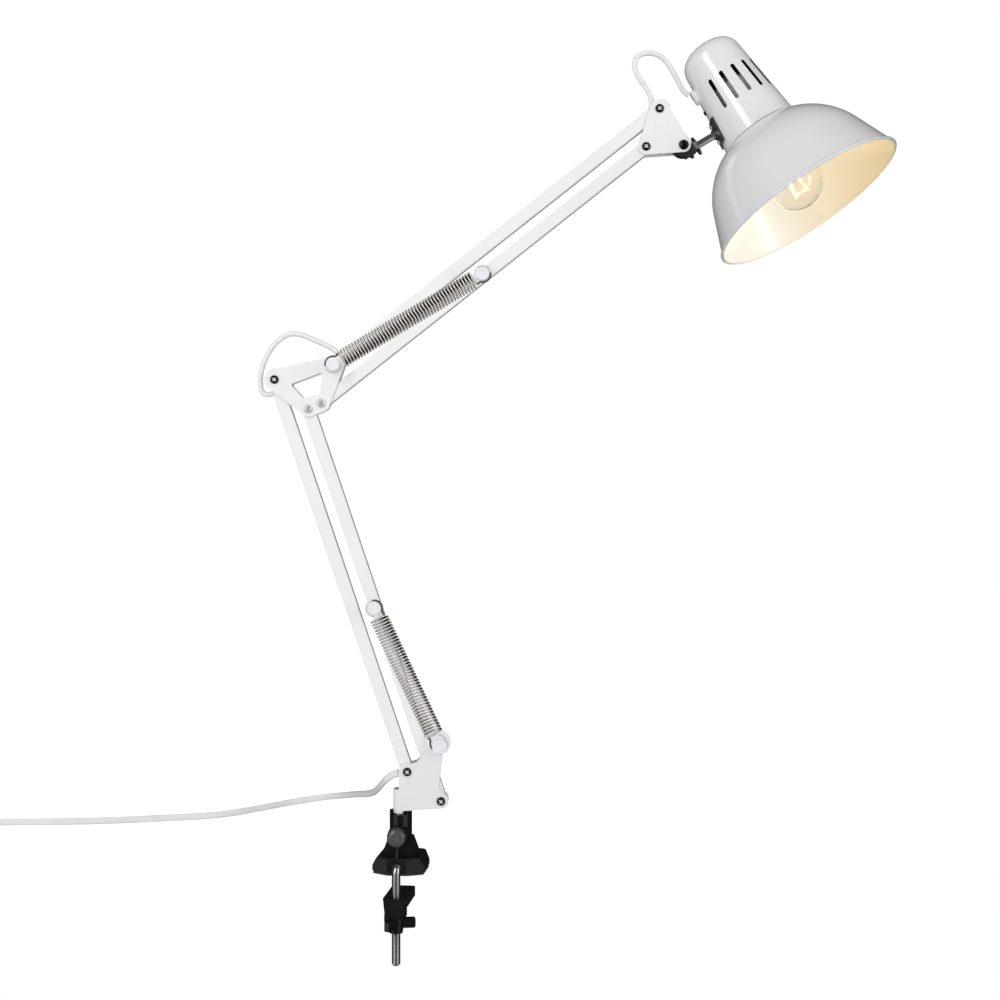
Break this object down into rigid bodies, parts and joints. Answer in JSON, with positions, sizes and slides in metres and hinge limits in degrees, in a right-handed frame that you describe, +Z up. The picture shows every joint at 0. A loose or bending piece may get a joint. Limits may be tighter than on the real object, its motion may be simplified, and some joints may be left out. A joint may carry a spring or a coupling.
{
  "type": "architect lamp",
  "caption": "Clamp-mounted architect lamp: two sprung parallelogram arms, a tilting and swivelling head with a wide white shade and a clear bulb.",
  "frame": {"origin": "underside of the clamp's foot, on the axis of the pin that the lamp turns on", "axes": "+Z up, +X towards the side that the head reaches to, -Y towards the side that the springs are on"},
  "size_m": [0.939, 0.3563, 0.7611],
  "materials": {
    "arm_white": "gloss",
    "bracket_white": "satin",
    "black_plastic": "gloss",
    "pad_rubber": "matte",
    "bright_steel": "polished",
    "spring_steel": "bright",
    "zinc": "satin",
    "black_screw": "blackened",
    "nickel_screw": "bright",
    "dark_knuckle": "matte",
    "saddle_grey": "satin",
    "shade_white": "gloss",
    "bush_white": "satin",
    "holder_white": "satin",
    "clear_glass": "clear",
    "cap_brass": "satin",
    "filament_yellow": "matte",
    "cord_white": "satin",
    "nylon_bush": "satin"
  },
  "bodies": {
    "clamp": {"clamp_body": "black_plastic", "foot_pad": "pad_rubber", "clamp_rod": "bright_steel"},
    "thumb_screw": {"thumb_screw_shank": "bright_steel", "thumb_screw_knob": "black_plastic"},
    "jaw": {"clamp_jaw": "black_plastic"},
    "jaw_nut": {"clamp_wing_nut": "black_plastic"},
    "swivel_bracket": {"stem_pin": "zinc", "base_bracket": "bracket_white", "base_pivot_screws": "black_screw", "base_pivot_nuts": "zinc", "base_pivot_bushes": "nylon_bush", "lower_spring_post": "zinc", "lower_spring_washer": "zinc", "lower_spring": "spring_steel", "mains_cord": "cord_white", "cord_coil": "cord_white", "switch_case": "cord_white", "plug_body": "cord_white", "plug_pins": "nickel_screw"},
    "switch_key": {"switch_rocker": "cord_white"},
    "lower_arm_outer": {"lower_tube_outer": "arm_white", "elbow_cable_lower": "cord_white"},
    "lower_arm_inner": {"lower_tube_inner": "arm_white", "lower_spring_pin": "zinc"},
    "elbow": {"elbow_plates": "bracket_white", "elbow_screw_dark": "black_screw", "elbow_screws_bright": "nickel_screw", "elbow_nuts": "zinc", "elbow_bushes": "nylon_bush", "elbow_spring_pin": "zinc", "upper_spring": "spring_steel"},
    "upper_arm_top": {"upper_tube_top": "arm_white", "elbow_cable_upper": "cord_white", "head_cable_lower": "cord_white"},
    "upper_arm_low": {"upper_tube_low": "arm_white", "upper_spring_pin": "zinc"},
    "head_yoke": {"head_plates": "bracket_white", "head_plate_screws": "black_screw", "head_plate_nuts": "zinc", "head_plate_bushes": "nylon_bush", "tilt_bolt": "zinc", "head_cable_middle": "cord_white"},
    "tilt_nut": {"tilt_wing_nut": "zinc"},
    "knuckle": {"head_knuckle": "dark_knuckle"},
    "lamp_head": {"stem_nut": "zinc", "stem_washer": "zinc", "head_stem": "bright_steel", "housing_saddle": "saddle_grey", "saddle_screws": "black_screw", "lamp_housing": "shade_white", "housing_screw": "black_screw", "cable_grommet": "bush_white", "shade_bowl": "shade_white", "lampholder": "holder_white", "shade_ring": "holder_white", "bulb_glass": "clear_glass", "bulb_cap": "cap_brass", "bulb_filaments": "filament_yellow", "head_cable_upper": "cord_white"}
  },
  "joints": [
    {"name": "swivel", "type": "hinge", "parent": "clamp", "child": "swivel_bracket", "pos_m": [0, 0, 0.05], "axis": [0, 0, 1], "continuous": true},
    {"name": "thumb_screw_turn", "type": "hinge", "parent": "clamp", "child": "thumb_screw", "pos_m": [-0.00183, -0.01489, 0.0315], "axis": [-0.1219, -0.9925, 0], "range_deg": [-360, 0]},
    {"name": "jaw_slide", "type": "slide", "parent": "clamp", "child": "jaw", "axis": [0, 0, 1], "range_m": [-0.02, 0.013]},
    {"name": "jaw_nut_turn", "type": "hinge", "parent": "jaw", "child": "jaw_nut", "pos_m": [-0.00244, -0.01985, -0.04], "axis": [0, 0, 1], "continuous": true},
    {"name": "lower_arm", "type": "hinge", "parent": "swivel_bracket", "child": "lower_arm_outer", "pos_m": [0.0056, 0, 0.0823], "axis": [0, 1, 0], "range_deg": [-11, 50]},
    {"name": "lower_arm_rod", "type": "hinge", "parent": "swivel_bracket", "child": "lower_arm_inner", "pos_m": [0.0333, 0, 0.0582], "axis": [0, 1, 0], "range_deg": [-11.5, 50.5], "deforming": ["lower_spring"]},
    {"name": "elbow_level", "type": "hinge", "parent": "lower_arm_outer", "child": "elbow", "pos_m": [-0.10341, 0, 0.40435], "axis": [0, 1, 0], "range_deg": [-50.5, 11.5], "deforming": ["elbow_cable_lower"]},
    {"name": "upper_arm", "type": "hinge", "parent": "elbow", "child": "upper_arm_top", "pos_m": [-0.05401, 0, 0.41615], "axis": [0, 1, 0], "range_deg": [-11, 50], "deforming": ["elbow_cable_upper"]},
    {"name": "upper_arm_rod", "type": "hinge", "parent": "elbow", "child": "upper_arm_low", "pos_m": [-0.06501, 0, 0.38495], "axis": [0, 1, 0], "range_deg": [-11.5, 50.5], "deforming": ["upper_spring"]},
    {"name": "head_level", "type": "hinge", "parent": "upper_arm_top", "child": "head_yoke", "pos_m": [0.21282, 0, 0.62688], "axis": [0, 1, 0], "range_deg": [-50.5, 11.5], "deforming": ["head_cable_lower"]},
    {"name": "head_tilt", "type": "hinge", "parent": "head_yoke", "child": "knuckle", "pos_m": [0.23262, 0, 0.59708], "axis": [0, 1, 0], "range_deg": [-25, 60], "deforming": ["head_cable_middle"]},
    {"name": "tilt_nut_turn", "type": "hinge", "parent": "head_yoke", "child": "tilt_nut", "pos_m": [0.23262, 0.009, 0.59708], "axis": [0, 1, 0], "continuous": true},
    {"name": "head_swivel", "type": "hinge", "parent": "knuckle", "child": "lamp_head", "pos_m": [0.2355, 0, 0.59228], "axis": [0.8572, 0, 0.515], "range_deg": [-100, 100], "deforming": ["head_cable_upper"]},
    {"name": "switch_press", "type": "hinge", "parent": "swivel_bracket", "child": "switch_key", "pos_m": [-0.4301, 0.1585, 0.014], "axis": [0, 1, 0], "range_deg": [-7, 7]}
  ],
  "couplings": [
    {"joint": "lower_arm_rod", "follows": "lower_arm", "ratio": 1},
    {"joint": "elbow_level", "follows": "lower_arm", "ratio": -1},
    {"joint": "upper_arm_rod", "follows": "upper_arm", "ratio": 1},
    {"joint": "head_level", "follows": "upper_arm", "ratio": -1}
  ]
}
